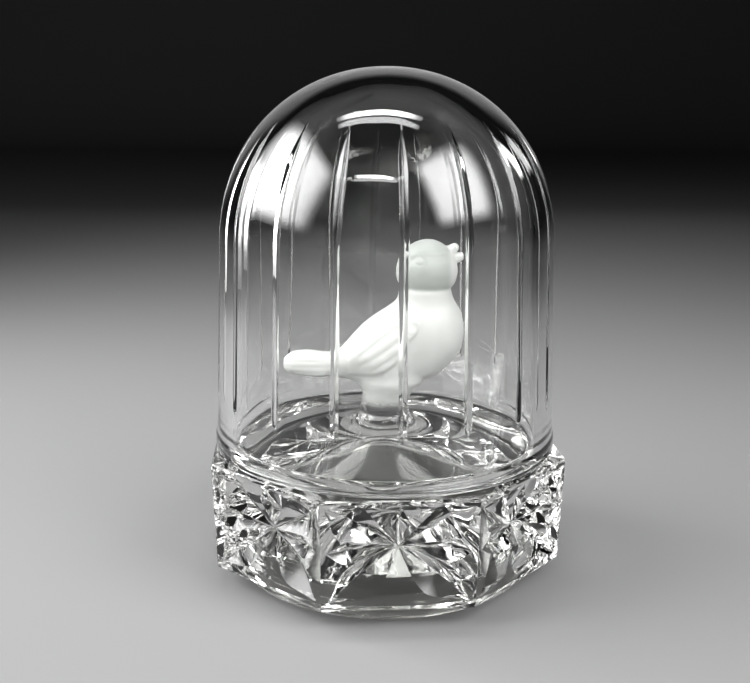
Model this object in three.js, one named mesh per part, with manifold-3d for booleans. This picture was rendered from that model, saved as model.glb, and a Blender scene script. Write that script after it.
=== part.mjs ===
// Small glass display dome: a clear bell jar with vertical V cuts stands on an
// octagonal cut-crystal base, over a satin-frosted songbird figurine that is
// bonded to a flared neck in the middle of the base.
//
// Millimetres, +Z up. Origin: centre of the underside, on the surface that the
// foot ring stands on. The bird faces +X. The octagon's flats face +X, -X, +Y,
// -Y and the diagonals.
import * as THREE from 'three';
import { mergeVertices } from 'three/addons/utils/BufferGeometryUtils.js';
import Module from 'manifold-3d';

const wasm = await Module();
wasm.setup();

// ---- driving dimensions ---------------------------------------------------
const FOOT_R = 38.0;          // round foot ring, outer radius
const FOOT_Z = 4.8;           // height of the foot ring under the octagon
const RECESS_R = 33.0;        // round recess in the underside, at its mouth
const RECESS_WALL_Z = 8.5;    // top of the recess's side wall
const RECESS_TOP_Z = 24.0;    // blunt tip of the recess's conical roof
const OCT_AP_BOT = 42.2;      // octagon, centre to flat, at its lower edge
const OCT_AP_TOP = 43.1;      // octagon, centre to flat, at its upper edge
const SEAT_Z = 31.6;          // flat top of the octagon: the jar stands here
const OCT_CHAMFER = 0.8;      // worn arris round the octagon's top
const BOSS_R = 36.3;          // raised round floor that centres the jar
const BOSS_Z = 33.4;          // top of that floor
const NECK_R = 6.1;           // top of the flared neck that carries the bird
const NECK_Z = 39.4;          // height of the neck's flat top
const BOND_T = 0.3;           // clear adhesive film between neck and bird

const STAR_Z = 19.2;          // height of the centre of each star cut
const V_SLOPE = 0.68;         // depth of a mitre cut over its half width
// each face is dished: plane panels fall from this outline to a centre this deep
const DISH_DEPTH = 3.3;
const DISH = [[0, 11.4], [-15.4, 9.9], [-12.6, 0.2], [-14.0, -10.5], [14.0, -10.5], [12.6, 0.2], [15.4, 9.9]];
// each mitre cut of a star: tip [across, up] from the centre, half width,
// place of the widest point along the cut (0..1), reach of the dish along it
const STAR_CUTS = [
  { tip: [0, 10.7], half: 2.1, peak: 0.66, dish: 11.4 },
  { tip: [-17.0, 10.7], half: 3.6, peak: 0.7, dish: 18.11 },
  { tip: [17.0, 10.7], half: 3.6, peak: 0.7, dish: 18.11 },
  { tip: [-16.4, -0.2], half: 3.1, peak: 0.72, dish: 12.65 },
  { tip: [16.4, -0.2], half: 3.1, peak: 0.72, dish: 12.65 },
  { tip: [-16.0, -12.2], half: 2.95, peak: 0.57, dish: 17.32 },
  { tip: [16.0, -12.2], half: 2.95, peak: 0.57, dish: 17.32 },
];

const JAR_R = 41.0;           // jar, outer radius at the spring of the crown
const JAR_R_BOT = 42.6;       // outer radius just above the rim bead
const BEAD_R = 42.95;         // rim bead, outer radius
const BEAD_H = 3.6;           // height of the rim bead
const SPRING_Z = 83.0;        // where the straight wall turns into the crown
const CROWN_H = 41.5;         // height of the crown
const CROWN_N = 2.04;         // fullness of the crown (2 is an ellipse)
const WALL = 4.2;             // wall of the jar
const JAR_SEGMENTS = 54;
const JAR_CUTS = 18;          // vertical cuts, set out by eye
const CUT_PHASE = 0.35;       // the front cut's place, degrees past -Y
const CUT_STEP = 20.45;       // between the seven front cuts; the others share the rest
const CUT_BOTTOM_Z = 45.6;    // lower end of each cut
const CUT_END_ANGLE = 46;     // upper end, degrees from the jar's axis
const CUT_HALF = 1.0;         // half width of a cut
const CUT_DEPTH = 0.55;

// ---- helpers ----------------------------------------------------------------
// closed geometry -> manifold solid, with welded corners and faces out
function solid(geometry) {
  const g = geometry.clone();
  g.deleteAttribute('normal');
  if (g.attributes.uv) g.deleteAttribute('uv');
  const w = mergeVertices(g, 1e-4);
  const pos = w.attributes.position;
  const idx = w.index.array;
  const tri = [];
  for (let i = 0; i < idx.length; i += 3) {
    const a = idx[i], b = idx[i + 1], c = idx[i + 2];
    if (a !== b && b !== c && a !== c) tri.push(a, b, c);
  }
  let volume = 0;
  const va = new THREE.Vector3(), vb = new THREE.Vector3(), vc = new THREE.Vector3();
  for (let i = 0; i < tri.length; i += 3) {
    va.fromBufferAttribute(pos, tri[i]);
    vb.fromBufferAttribute(pos, tri[i + 1]);
    vc.fromBufferAttribute(pos, tri[i + 2]);
    volume += va.dot(vb.clone().cross(vc));
  }
  if (volume < 0) {
    for (let i = 0; i < tri.length; i += 3) [tri[i + 1], tri[i + 2]] = [tri[i + 2], tri[i + 1]];
  }
  return new wasm.Manifold(new wasm.Mesh({
    numProp: 3,
    vertProperties: Float32Array.from(pos.array),
    triVerts: Uint32Array.from(tri),
  }));
}

function geometryOf(manifold) {
  const m = manifold.getMesh();
  const g = new THREE.BufferGeometry();
  g.setAttribute('position', new THREE.BufferAttribute(Float32Array.from(m.vertProperties), 3));
  g.setIndex(new THREE.BufferAttribute(Uint32Array.from(m.triVerts), 1));
  g.computeVertexNormals();
  return g;
}

// a round solid from [radius, height] pairs that start and end on the axis
function turned(profile, segments, phase = 0) {
  const g = new THREE.LatheGeometry(profile.map(([r, z]) => new THREE.Vector2(r, z)), segments);
  g.rotateX(Math.PI / 2);
  g.rotateZ(phase);
  return solid(g);
}

const join = (list) => list.reduce((a, b) => a.add(b));
const deg = THREE.MathUtils.degToRad;

// the wedge a mitre wheel leaves: a row of V sections, closed at both ends
function wedge(stations, lift) {
  // each station: { p: point on the surface, n: outward, s: sideways, half, depth, slope }
  const shape = [];
  for (const st of stations) {
    const bottom = st.p.clone().addScaledVector(st.n, -st.depth);
    const reach = st.half + lift / st.slope;
    const left = st.p.clone().addScaledVector(st.n, lift).addScaledVector(st.s, -reach);
    const right = st.p.clone().addScaledVector(st.n, lift).addScaledVector(st.s, reach);
    shape.push([left, right, bottom]);
  }
  const v = [];
  const tri = (a, b, c) => v.push(a.x, a.y, a.z, b.x, b.y, b.z, c.x, c.y, c.z);
  for (let i = 0; i + 1 < shape.length; i++) {
    const [a, b] = [shape[i], shape[i + 1]];
    for (let k = 0; k < 3; k++) {
      const l = (k + 1) % 3;
      tri(a[k], b[k], b[l]);
      tri(a[k], b[l], a[l]);
    }
  }
  const f = shape[0], e = shape[shape.length - 1];
  tri(f[0], f[1], f[2]);
  tri(e[0], e[2], e[1]);
  const g = new THREE.BufferGeometry();
  g.setAttribute('position', new THREE.BufferAttribute(Float32Array.from(v), 3));
  return solid(mergeVertices(g, 1e-4));
}

// ---- base -------------------------------------------------------------------
const COS8 = Math.cos(Math.PI / 8);
const octagon = turned([
  [0, FOOT_Z],
  [(OCT_AP_BOT - 0.5) / COS8, FOOT_Z],
  [OCT_AP_BOT / COS8, FOOT_Z + 0.6],
  [OCT_AP_TOP / COS8, SEAT_Z - OCT_CHAMFER],
  [(OCT_AP_TOP - OCT_CHAMFER * 0.6) / COS8, SEAT_Z],
  [0, SEAT_Z],
], 8, Math.PI / 8);

const foot = turned([
  [0, 0],
  [FOOT_R - 1.0, 0],
  [FOOT_R - 0.25, 0.45],
  [FOOT_R, 1.3],
  [FOOT_R + 0.5, FOOT_Z + 0.5],
  [0, FOOT_Z + 0.5],
], 48);

// floor inside the jar: a raised disc that swells into the neck
const floorProfile = [
  [0, SEAT_Z - 1],
  [BOSS_R, SEAT_Z - 1],
  [BOSS_R, BOSS_Z - 0.5],
  [BOSS_R - 0.5, BOSS_Z],
  [30, BOSS_Z + 0.15],
  [22, BOSS_Z + 0.7],
  [15, BOSS_Z + 1.6],
  [11, BOSS_Z + 2.5],
  [8.6, BOSS_Z + 3.6],
  [7.1, BOSS_Z + 4.8],
  [NECK_R, NECK_Z],
  [0, NECK_Z],
];
const floorDisc = turned(floorProfile, 48);

const recess = turned([
  [0, -2],
  [RECESS_R + 0.4, -2],
  [RECESS_R, 0.4],
  [RECESS_R - 0.8, RECESS_WALL_Z - 1.5],
  [RECESS_R - 2.4, RECESS_WALL_Z],
  [16, 16.2],
  [5, 22.6],
  [1.8, RECESS_TOP_Z - 0.2],
  [0, RECESS_TOP_Z],
], 48);

const faceLean = (OCT_AP_TOP - OCT_AP_BOT) / (SEAT_Z - OCT_CHAMFER - FOOT_Z - 0.6);
const faceAp = (z) => OCT_AP_BOT + (z - FOOT_Z - 0.6) * faceLean;

function starCuts(azimuth) {
  const radial = new THREE.Vector3(Math.cos(azimuth), Math.sin(azimuth), 0);
  const across = new THREE.Vector3(-Math.sin(azimuth), Math.cos(azimuth), 0);
  const up = radial.clone().multiplyScalar(faceLean).add(new THREE.Vector3(0, 0, 1)).normalize();
  const out = across.clone().cross(up).normalize();
  const centre = radial.clone().multiplyScalar(faceAp(STAR_Z)).setZ(STAR_Z);
  const onFace = (u, v, height) => centre.clone()
    .addScaledVector(across, u).addScaledVector(up, v).addScaledVector(out, height);
  // the dish: a low pyramid standing on its point, open to the outside
  const lift = 0.8;
  const grow = (DISH_DEPTH + lift) / DISH_DEPTH;
  const rim = DISH.map(([u, v]) => onFace(u * grow, v * grow, lift));
  const point = onFace(0, 0, -DISH_DEPTH);
  const middle = onFace(0, 0, lift);
  const v = [];
  rim.forEach((a, i) => {
    const b = rim[(i + 1) % rim.length];
    for (const p of [a, b, middle, b, a, point]) v.push(p.x, p.y, p.z);
  });
  const g = new THREE.BufferGeometry();
  g.setAttribute('position', new THREE.BufferAttribute(Float32Array.from(v), 3));
  const dished = solid(mergeVertices(g, 1e-4));
  const mitres = STAR_CUTS.map(({ tip, half, peak, dish }) => {
    const length = Math.hypot(tip[0], tip[1]);
    const along = across.clone().multiplyScalar(tip[0] / length).addScaledVector(up, tip[1] / length);
    const side = out.clone().cross(along).normalize();
    const stations = [];
    for (const t of [-0.035, 0, 0.35, peak, (peak + 1) / 2, 1]) {
      const w = t <= peak
        ? Math.max(half * (t / peak), 0.12)
        : half * Math.pow(1 - (t - peak) / (1 - peak), 0.85);
      const sunk = DISH_DEPTH * Math.min(Math.max(1 - t * length / dish, 0), 1);
      const depth = (t >= 1 ? 0.02 : w) * V_SLOPE + sunk;
      stations.push({
        p: centre.clone().addScaledVector(along, t * length),
        n: out, s: side, half: depth / V_SLOPE, depth, slope: V_SLOPE,
      });
    }
    return wedge(stations, 1.2);
  });
  return [dished, ...mitres];
}

let base = join([octagon, foot, floorDisc]).subtract(recess);
for (let k = 0; k < 8; k++) {
  for (const cut of starCuts(deg(-90 + 45 * k))) base = base.subtract(cut);
}

// ---- bell jar ---------------------------------------------------------------
// outer wall: a straight, slightly flared wall, then a crown a little fuller
// than a half ellipse; angle 0 is the spring, 90 the top
function crownPoint(angle, radius, height) {
  const c = Math.pow(Math.cos(angle), 2 / CROWN_N);
  const s = Math.pow(Math.sin(angle), 2 / CROWN_N);
  return [radius * c, SPRING_Z + height * s];
}
const BEAD_TOP = SEAT_Z + BEAD_H;
const outer = [[0, SPRING_Z + CROWN_H]];
for (const a of [80, 69, 58, 47, 36, 24, 12]) {
  outer.push(crownPoint(deg(a), JAR_R, CROWN_H));
}
outer.push([JAR_R, SPRING_Z]);
outer.push([JAR_R + (JAR_R_BOT - JAR_R) * 0.5, (SPRING_Z + BEAD_TOP) / 2]);
outer.push([JAR_R_BOT, BEAD_TOP]);
outer.push([BEAD_R, BEAD_TOP - 1.2]);
outer.push([BEAD_R, SEAT_Z + 1.3]);
outer.push([BEAD_R - 0.5, SEAT_Z + 0.4]);
outer.push([BEAD_R - 1.5, SEAT_Z]);
const inner = [];
inner.push([JAR_R_BOT - WALL + 1.0, SEAT_Z]);
inner.push([JAR_R_BOT - WALL, SEAT_Z + 0.9]);
inner.push([JAR_R - WALL, SPRING_Z]);
for (const a of [16, 32, 48, 63, 78]) {
  inner.push(crownPoint(deg(a), JAR_R - WALL, CROWN_H - WALL));
}
inner.push([0, SPRING_Z + CROWN_H - WALL]);
let dome = turned([...outer, ...inner], JAR_SEGMENTS);

function jarCut(azimuth) {
  const radial = new THREE.Vector3(Math.cos(azimuth), Math.sin(azimuth), 0);
  const side = new THREE.Vector3(-Math.sin(azimuth), Math.cos(azimuth), 0);
  const at = (r, z) => radial.clone().multiplyScalar(r).setZ(z);
  const path = [];
  const wallR = (z) => JAR_R + (JAR_R_BOT - JAR_R) * (SPRING_Z - z) / (SPRING_Z - BEAD_TOP);
  const flare = Math.atan((JAR_R_BOT - JAR_R) / (SPRING_Z - BEAD_TOP));
  const wallN = radial.clone().multiplyScalar(Math.cos(flare)).add(new THREE.Vector3(0, 0, Math.sin(flare)));
  // [height, fraction of the full cut]
  for (const [z, f] of [[CUT_BOTTOM_Z - 0.9, 0.02], [CUT_BOTTOM_Z + 0.8, 0.9], [64, 1]]) {
    path.push({ p: at(wallR(z), z), n: wallN, f });
  }
  for (const [a, f] of [[0, 1], [12, 1], [22, 1.03], [31, 1.0], [39, 0.75], [90 - CUT_END_ANGLE, 0.02]]) {
    const [r, z] = crownPoint(deg(a), JAR_R, CROWN_H);
    const [r0, z0] = crownPoint(deg(Math.max(a - 1, 0.05)), JAR_R, CROWN_H);
    const [r1, z1] = crownPoint(deg(a + 1), JAR_R, CROWN_H);
    const n = radial.clone().multiplyScalar(z1 - z0).add(new THREE.Vector3(0, 0, r0 - r1)).normalize();
    path.push({ p: at(r, z), n, f });
  }
  return wedge(path.map(({ p, n, f }) => ({
    p, n, s: side, half: CUT_HALF * f, depth: CUT_DEPTH * f, slope: CUT_DEPTH / CUT_HALF,
  })), 0.6);
}
const BACK_STEP = (360 - 6 * CUT_STEP) / (JAR_CUTS - 6);
for (let k = -3; k < JAR_CUTS - 3; k++) {
  const turn = k <= 3 ? CUT_STEP * k : 3 * CUT_STEP + BACK_STEP * (k - 3);
  dome = dome.subtract(jarCut(deg(-90 + CUT_PHASE + turn)));
}

// ---- bird -------------------------------------------------------------------
const BIRD_Z = NECK_Z + BOND_T;
function blob([x, y, z], [rx, ry, rz], tilt = 0, w = 16, h = 11) {
  const g = new THREE.SphereGeometry(1, w, h);
  g.rotateZ(Math.PI / 2);
  g.scale(rx, ry, rz);
  g.rotateY(-deg(tilt));
  g.translate(x, y, z);
  return solid(g);
}
function turnedAlongX(profile, flat, tilt, [x, y, z]) {
  const g = new THREE.LatheGeometry(profile.map(([r, l]) => new THREE.Vector2(r, l)), 14);
  g.rotateZ(-Math.PI / 2);
  g.scale(1, 1, flat);
  g.rotateX(Math.PI / 2);
  g.rotateY(-deg(tilt));
  g.translate(x, y, z);
  return solid(g);
}
const bird = join([
  // stem
  turned([
    [0, BIRD_Z], [6.1, BIRD_Z], [6.0, BIRD_Z + 2.5], [6.3, BIRD_Z + 4.5],
    [7.4, BIRD_Z + 6.8], [7.6, BIRD_Z + 11], [0, BIRD_Z + 12],
  ], 24),
  blob([1.6, 0, 56.2], [14.2, 8.8, 9.1], 39),
  blob([10.3, 0, 60.6], [10.0, 8.9, 11.2], 0),
  blob([10.1, 0, 70.2], [6.8, 6.5, 6.8], 0),
  blob([9.7, 0, 75.7], [7.4, 7.1, 7.6], 0),
  // rump and tail
  blob([-8.6, 0, 51.6], [7.6, 5.8, 5.6], 20),
  turnedAlongX([[0, -11.0], [2.3, -10.2], [3.4, -7.6], [3.55, -3], [3.6, 4], [4.0, 9], [0, 10]], 1.15, 1.0, [-15.1, 0, 51.9]),
  // folded wings
  blob([0.4, 6.6, 58.2], [10.6, 3.3, 5.2], 40, 14, 8),
  blob([0.4, -6.6, 58.2], [10.6, 3.3, 5.2], 40, 14, 8),
  // short beak, just open
  turnedAlongX([[0, -3], [2.3, -2.6], [1.6, 1.4], [0.8, 2.7], [0, 3.0]], 1.0, 24, [15.2, 0, 80.2]),
  turnedAlongX([[0, -4], [2.1, -3.6], [1.5, 1.4], [0.8, 3.0], [0, 3.4]], 1.0, 6, [15.9, 0, 78.2]),
]);

const bond = turned([[0, NECK_Z], [5.8, NECK_Z], [5.8, NECK_Z + BOND_T], [0, NECK_Z + BOND_T]], 32);

// ---- assembly ---------------------------------------------------------------
const finishes = {
  crystal: { color: 0xe9eeee, roughness: 0.03, metalness: 0 },
  jar_glass: { color: 0xeef2f0, roughness: 0.02, metalness: 0 },
  frosted: { color: 0xf2f4f4, roughness: 0.55, metalness: 0 },
  adhesive: { color: 0xf0f2ee, roughness: 0.1, metalness: 0 },
};
function piece(name, manifold, finish) {
  const mesh = new THREE.Mesh(geometryOf(manifold), new THREE.MeshStandardMaterial(finishes[finish]));
  mesh.name = name;
  return mesh;
}

const group = new THREE.Group();
group.name = 'bell_jar_dome';
group.add(
  piece('crystal_base', base, 'crystal'),
  piece('adhesive_film', bond, 'adhesive'),
  piece('bird_figurine', bird, 'frosted'),
  piece('glass_dome', dome, 'jar_glass'),
);
export default group;
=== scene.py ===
import math
import bpy
import bmesh
import numpy as np
from mathutils import Matrix, Vector


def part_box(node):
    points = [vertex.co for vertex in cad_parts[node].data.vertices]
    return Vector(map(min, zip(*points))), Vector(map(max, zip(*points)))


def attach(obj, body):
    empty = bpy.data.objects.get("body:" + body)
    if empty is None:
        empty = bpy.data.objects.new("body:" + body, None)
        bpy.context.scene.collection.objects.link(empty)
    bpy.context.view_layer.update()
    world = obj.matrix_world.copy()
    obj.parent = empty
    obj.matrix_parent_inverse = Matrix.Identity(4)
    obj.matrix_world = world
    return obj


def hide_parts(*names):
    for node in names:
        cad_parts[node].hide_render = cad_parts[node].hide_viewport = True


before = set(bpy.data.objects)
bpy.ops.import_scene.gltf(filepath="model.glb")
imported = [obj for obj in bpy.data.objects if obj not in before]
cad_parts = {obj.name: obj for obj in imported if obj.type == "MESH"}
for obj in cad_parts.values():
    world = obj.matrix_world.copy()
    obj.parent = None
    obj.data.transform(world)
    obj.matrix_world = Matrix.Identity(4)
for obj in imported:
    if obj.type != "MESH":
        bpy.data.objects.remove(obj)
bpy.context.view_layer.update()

MM = 0.001
scene = bpy.context.scene

# --------------------------------------------------------------------------
# sizes, in millimetres, the same as the frame's
# --------------------------------------------------------------------------
FOOT_R, FOOT_Z = 38.0, 4.8
RECESS_R, RECESS_WALL_Z, RECESS_TOP_Z = 33.0, 8.5, 24.0
AP_BOT, AP_TOP, SEAT_Z, OCT_CHAMFER = 42.2, 43.1, 31.6, 0.8
BOSS_R, BOSS_Z = 36.3, 33.4
NECK_R, NECK_Z, BOND_T = 6.1, 39.4, 0.3
STAR_Z, V_SLOPE = 19.2, 0.68
JAR_R, JAR_R_BOT, BEAD_R, BEAD_H = 41.0, 42.6, 42.95, 3.6
SPRING_Z, CROWN_H, CROWN_N, WALL = 83.0, 41.5, 2.04, 4.2
JAR_CUTS, CUT_BOTTOM_Z, CUT_END_ANGLE = 18, 45.6, 46.0
CUT_HALF, CUT_DEPTH = 0.96, 0.62
CUT_PHASE, CUT_STEP = 0.35, 20.45

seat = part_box("glass_dome")[0][2] / MM
assert abs(seat - SEAT_Z) < 0.02, seat


# --------------------------------------------------------------------------
# helpers
# --------------------------------------------------------------------------
def mesh_object(name, verts, faces, smooth_angle=None):
    me = bpy.data.meshes.new(name)
    me.from_pydata([tuple(v) for v in verts], [], [tuple(f) for f in faces])
    me.update()
    ob = bpy.data.objects.new(name, me)
    scene.collection.objects.link(ob)
    return ob


def mesh_from_arrays(name, verts, quads):
    """verts (n,3) in mm, quads (m,4)"""
    me = bpy.data.meshes.new(name)
    n, m = len(verts), len(quads)
    me.vertices.add(n)
    me.vertices.foreach_set("co", (np.asarray(verts, dtype=np.float32) * MM).ravel())
    me.loops.add(m * 4)
    me.loops.foreach_set("vertex_index", np.asarray(quads, dtype=np.int32).ravel())
    me.polygons.add(m)
    me.polygons.foreach_set("loop_start", np.arange(0, m * 4, 4, dtype=np.int32))
    me.update(calc_edges=True)
    me.validate()
    ob = bpy.data.objects.new(name, me)
    scene.collection.objects.link(ob)
    return ob


def shade(ob, angle=None):
    ob.data.shade_smooth()
    if angle is not None:
        ob.data.set_sharp_from_angle(angle=math.radians(angle))


def face_out(ob):
    bm = bmesh.new()
    bm.from_mesh(ob.data)
    bmesh.ops.recalc_face_normals(bm, faces=bm.faces[:])
    if bm.calc_volume(signed=True) < 0:
        bmesh.ops.reverse_faces(bm, faces=bm.faces[:])
    bm.to_mesh(ob.data)
    bm.free()


def turned(name, profile, segments, phase=0.0):
    """a closed round solid from (r, z) pairs in mm that start and end on the axis"""
    ang = phase + np.arange(segments) * 2 * math.pi / segments
    verts, rows = [], []
    for r, z in profile:
        if r < 1e-6:
            rows.append([len(verts)])
            verts.append((0, 0, z * MM))
        else:
            rows.append(list(range(len(verts), len(verts) + segments)))
            verts += [(r * math.cos(a) * MM, r * math.sin(a) * MM, z * MM) for a in ang]
    faces = []
    for a, b in zip(rows[:-1], rows[1:]):
        for i in range(segments):
            j = (i + 1) % segments
            if len(a) == 1 and len(b) == 1:
                continue
            if len(a) == 1:
                faces.append((a[0], b[j], b[i]))
            elif len(b) == 1:
                faces.append((a[i], a[j], b[0]))
            else:
                faces.append((a[i], a[j], b[j], b[i]))
    ob = mesh_object(name, verts, faces)
    face_out(ob)
    return ob


def smoothstep(x, a, b):
    t = np.clip((x - a) / (b - a), 0, 1)
    return t * t * (3 - 2 * t)


def arc(cx, cz, r, a0, a1, n):
    """points of a corner rounding, angles in degrees"""
    return [(cx + r * math.cos(math.radians(a)), cz + r * math.sin(math.radians(a)))
            for a in np.linspace(a0, a1, n)]


def boolean(target, tool, operation, solver="EXACT", self_hit=False):
    mod = target.modifiers.new("cut", "BOOLEAN")
    mod.operation = operation
    mod.solver = solver
    mod.object = tool
    if solver == "EXACT":
        mod.use_self = self_hit
    apply_modifiers(target)
    bpy.data.objects.remove(tool)


def apply_modifiers(ob):
    dg = bpy.context.evaluated_depsgraph_get()
    dg.update()
    me = bpy.data.meshes.new_from_object(ob.evaluated_get(dg), depsgraph=dg)
    old = ob.data
    ob.modifiers.clear()
    ob.data = me
    me.name = ob.name
    bpy.data.meshes.remove(old)


# --------------------------------------------------------------------------
# materials
# --------------------------------------------------------------------------
def node(nt, kind, x=0, y=0, **inputs):
    n = nt.nodes.new(kind)
    n.location = (x, y)
    for k, v in inputs.items():
        n.inputs[k.replace("_", " ")].default_value = v
    return n


def glass(name, tint, ior, rough, rough_more, ripple, ripple_size, streak=None, passes=0.97, worn=0.0):
    """Clear glass: faint tint, faint smears in its gloss, a little ripple in its
    surface, and a stand-in that lets lamps light what is behind it."""
    mat = bpy.data.materials.new(name)
    mat.use_nodes = True
    nt = mat.node_tree
    nt.nodes.clear()
    out = node(nt, "ShaderNodeOutputMaterial", 900, 0)
    p = node(nt, "ShaderNodeBsdfPrincipled", 300, 0)
    p.inputs["Transmission Weight"].default_value = 1.0
    p.inputs["IOR"].default_value = ior
    p.inputs["Specular IOR Level"].default_value = 0.5
    geo = node(nt, "ShaderNodeTexCoord", -1200, 0)
    # tint, a touch uneven
    n1 = node(nt, "ShaderNodeTexNoise", -900, 300, Scale=35.0, Detail=3.0, Roughness=0.5)
    nt.links.new(geo.outputs["Object"], n1.inputs["Vector"])
    ramp = node(nt, "ShaderNodeValToRGB", -650, 300)
    ramp.color_ramp.elements[0].position = 0.3
    ramp.color_ramp.elements[1].position = 0.7
    ramp.color_ramp.elements[0].color = (*tint, 1)
    ramp.color_ramp.elements[1].color = (*[min(1, c * 1.012) for c in tint], 1)
    nt.links.new(n1.outputs["Fac"], ramp.inputs["Fac"])
    nt.links.new(ramp.outputs["Color"], p.inputs["Base Color"])
    # gloss, with smears and fine dust
    n2 = node(nt, "ShaderNodeTexNoise", -900, 0, Scale=60.0, Detail=6.0, Roughness=0.65)
    nt.links.new(geo.outputs["Object"], n2.inputs["Vector"])
    mr = node(nt, "ShaderNodeMapRange", -650, 0)
    mr.inputs["From Min"].default_value = 0.5
    mr.inputs["From Max"].default_value = 0.8
    mr.inputs["To Min"].default_value = rough
    mr.inputs["To Max"].default_value = rough + rough_more
    nt.links.new(n2.outputs["Fac"], mr.inputs["Value"])
    nt.links.new(mr.outputs["Result"], p.inputs["Roughness"])
    # surface ripple
    mp = node(nt, "ShaderNodeMapping", -1000, -300)
    mp.inputs["Scale"].default_value = streak or (1, 1, 1)
    nt.links.new(geo.outputs["Object"], mp.inputs["Vector"])
    n3 = node(nt, "ShaderNodeTexNoise", -800, -300, Scale=ripple_size, Detail=2.0, Roughness=0.4)
    nt.links.new(mp.outputs["Vector"], n3.inputs["Vector"])
    bump = node(nt, "ShaderNodeBump", -300, -300, Strength=ripple, Distance=0.001)
    nt.links.new(n3.outputs["Fac"], bump.inputs["Height"])
    if worn:
        # arrises worn round by handling
        arris = node(nt, "ShaderNodeBevel", -550, -450, Radius=worn)
        arris.samples = 4
        nt.links.new(arris.outputs["Normal"], bump.inputs["Normal"])
    nt.links.new(bump.outputs["Normal"], p.inputs["Normal"])
    # lamps pass
    lp = node(nt, "ShaderNodeLightPath", 300, 350)
    tr = node(nt, "ShaderNodeBsdfTransparent", 300, -450)
    tr.inputs["Color"].default_value = (*[c * passes for c in tint], 1)
    mix = node(nt, "ShaderNodeMixShader", 650, 0)
    nt.links.new(lp.outputs["Is Shadow Ray"], mix.inputs[0])
    nt.links.new(p.outputs[0], mix.inputs[1])
    nt.links.new(tr.outputs[0], mix.inputs[2])
    nt.links.new(mix.outputs[0], out.inputs["Surface"])
    return mat


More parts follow.
